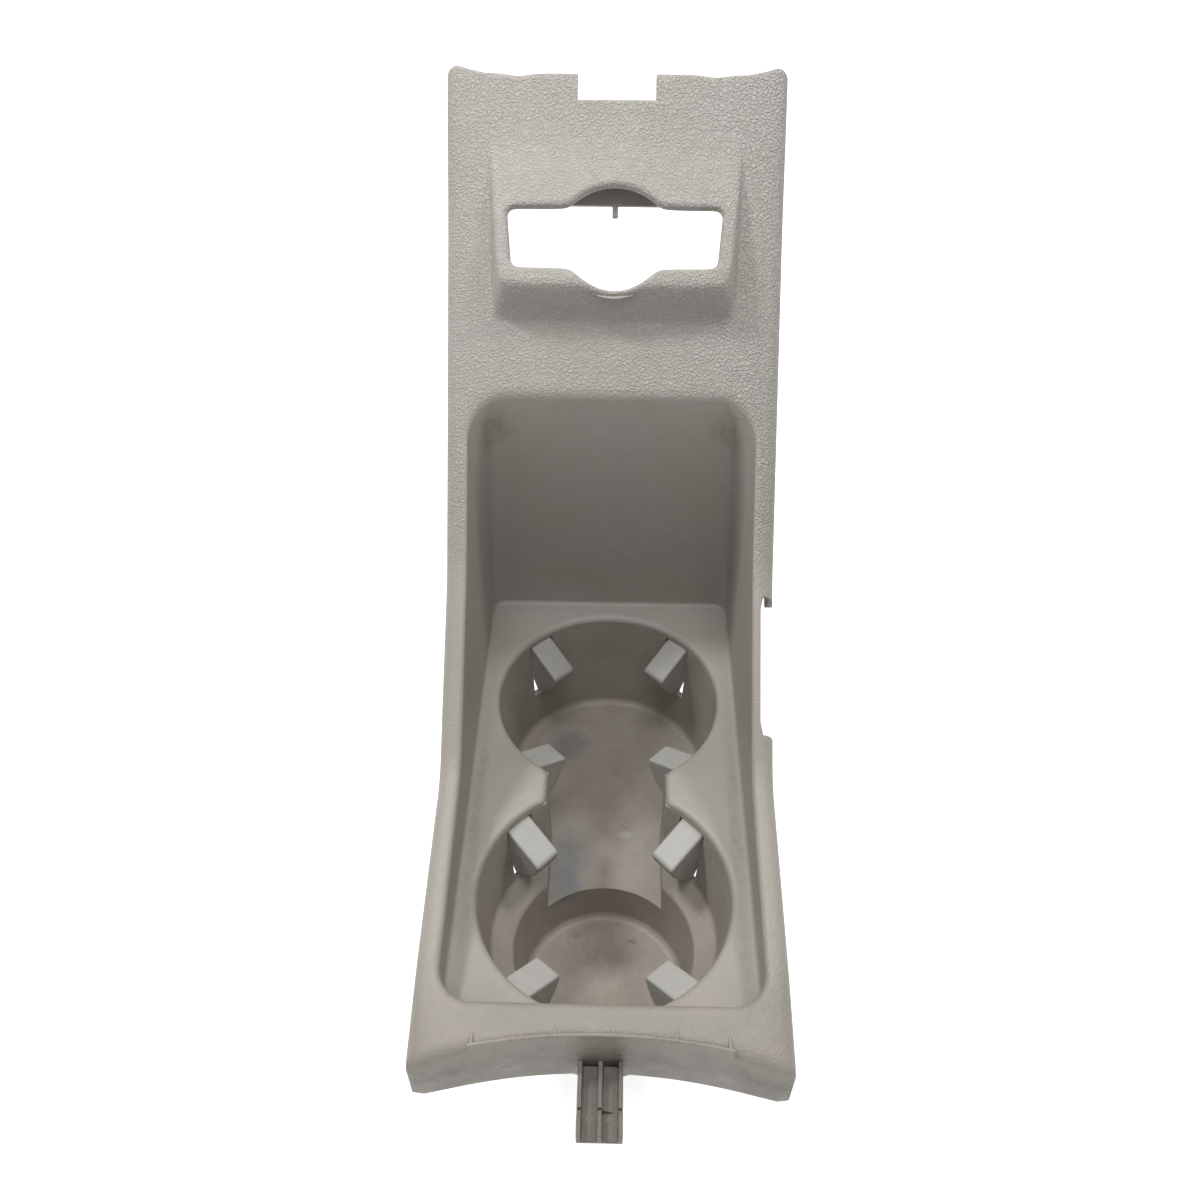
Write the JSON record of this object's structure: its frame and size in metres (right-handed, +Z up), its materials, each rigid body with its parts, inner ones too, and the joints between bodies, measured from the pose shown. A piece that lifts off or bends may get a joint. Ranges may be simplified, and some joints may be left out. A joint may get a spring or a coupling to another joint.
{
  "type": "console cup holder",
  "caption": "Console trim panel with two cup wells in line, sprung grip flaps, a sloping recess, a raised switch pod and a locating tongue.",
  "frame": {"origin": "centre of the underside of the can pocket in the near cup, which is the lowest face", "axes": "+X to the right across the panel, +Y from the near skirt to the top of the ramp, +Z up along the cups' axes"},
  "size_m": [0.118, 0.2797, 0.2811],
  "materials": {
    "grained_plastic": "grey-beige moulded plastic with a leather grain",
    "tub_plastic": "smooth satin grey-beige plastic, stained floor",
    "flap_plastic": "smooth satin grey-beige plastic",
    "plated_steel": "zinc-plated steel",
    "spring_steel": "dark spring steel"
  },
  "bodies": {
    "housing": {"trim_panel": "grained_plastic", "cup_tub": "tub_plastic", "tub_screws": "plated_steel", "retaining_clips": "spring_steel", "hinge_pin_far_cup_far_left": "plated_steel", "hinge_pin_far_cup_far_right": "plated_steel", "hinge_pin_far_cup_near_left": "plated_steel", "hinge_pin_far_cup_near_right": "plated_steel", "hinge_pin_near_cup_far_left": "plated_steel", "hinge_pin_near_cup_far_right": "plated_steel", "hinge_pin_near_cup_near_left": "plated_steel", "hinge_pin_near_cup_near_right": "plated_steel", "torsion_spring_far_cup_far_left": "spring_steel", "torsion_spring_far_cup_far_right": "spring_steel", "torsion_spring_far_cup_near_left": "spring_steel", "torsion_spring_far_cup_near_right": "spring_steel", "torsion_spring_near_cup_far_left": "spring_steel", "torsion_spring_near_cup_far_right": "spring_steel", "torsion_spring_near_cup_near_left": "spring_steel", "torsion_spring_near_cup_near_right": "spring_steel"},
    "flap_far_cup_far_left": {"grip_flap_far_cup_far_left": "flap_plastic"},
    "flap_far_cup_far_right": {"grip_flap_far_cup_far_right": "flap_plastic"},
    "flap_far_cup_near_left": {"grip_flap_far_cup_near_left": "flap_plastic"},
    "flap_far_cup_near_right": {"grip_flap_far_cup_near_right": "flap_plastic"},
    "flap_near_cup_far_left": {"grip_flap_near_cup_far_left": "flap_plastic"},
    "flap_near_cup_far_right": {"grip_flap_near_cup_far_right": "flap_plastic"},
    "flap_near_cup_near_left": {"grip_flap_near_cup_near_left": "flap_plastic"},
    "flap_near_cup_near_right": {"grip_flap_near_cup_near_right": "flap_plastic"}
  },
  "joints": [
    {"name": "swing_far_cup_far_left", "type": "hinge", "parent": "housing", "child": "flap_far_cup_far_left", "pos_m": [-0.03479, 0.12864, 0.0665], "axis": [0.7431, 0.6691, 0], "range_deg": [0, 44], "stiffness_Nm_per_rad": 0.02, "springref_deg": -34.38, "deforming": ["torsion_spring_far_cup_far_left"]},
    {"name": "swing_far_cup_far_right", "type": "hinge", "parent": "housing", "child": "flap_far_cup_far_right", "pos_m": [0.03479, 0.12864, 0.0665], "axis": [0.7431, -0.6691, 0], "range_deg": [0, 44], "stiffness_Nm_per_rad": 0.02, "springref_deg": -34.38, "deforming": ["torsion_spring_far_cup_far_right"]},
    {"name": "swing_far_cup_near_left", "type": "hinge", "parent": "housing", "child": "flap_far_cup_near_left", "pos_m": [-0.03677, 0.05323, 0.0665], "axis": [-0.7071, 0.7071, 0], "range_deg": [0, 44], "stiffness_Nm_per_rad": 0.02, "springref_deg": -34.38, "deforming": ["torsion_spring_far_cup_near_left"]},
    {"name": "swing_far_cup_near_right", "type": "hinge", "parent": "housing", "child": "flap_far_cup_near_right", "pos_m": [0.03677, 0.05323, 0.0665], "axis": [-0.7071, -0.7071, 0], "range_deg": [0, 44], "stiffness_Nm_per_rad": 0.02, "springref_deg": -34.38, "deforming": ["torsion_spring_far_cup_near_right"]},
    {"name": "swing_near_cup_far_left", "type": "hinge", "parent": "housing", "child": "flap_near_cup_far_left", "pos_m": [-0.03803, 0.03546, 0.0665], "axis": [0.682, 0.7314, 0], "range_deg": [0, 44], "stiffness_Nm_per_rad": 0.02, "springref_deg": -34.38, "deforming": ["torsion_spring_near_cup_far_left"]},
    {"name": "swing_near_cup_far_right", "type": "hinge", "parent": "housing", "child": "flap_near_cup_far_right", "pos_m": [0.03803, 0.03546, 0.0665], "axis": [0.682, -0.7314, 0], "range_deg": [0, 44], "stiffness_Nm_per_rad": 0.02, "springref_deg": -34.38, "deforming": ["torsion_spring_near_cup_far_right"]},
    {"name": "swing_near_cup_near_left", "type": "hinge", "parent": "housing", "child": "flap_near_cup_near_left", "pos_m": [-0.03343, -0.03983, 0.0665], "axis": [-0.766, 0.6428, 0], "range_deg": [0, 44], "stiffness_Nm_per_rad": 0.02, "springref_deg": -34.38, "deforming": ["torsion_spring_near_cup_near_left"]},
    {"name": "swing_near_cup_near_right", "type": "hinge", "parent": "housing", "child": "flap_near_cup_near_right", "pos_m": [0.03343, -0.03983, 0.0665], "axis": [-0.766, -0.6428, 0], "range_deg": [0, 44], "stiffness_Nm_per_rad": 0.02, "springref_deg": -34.38, "deforming": ["torsion_spring_near_cup_near_right"]}
  ]
}
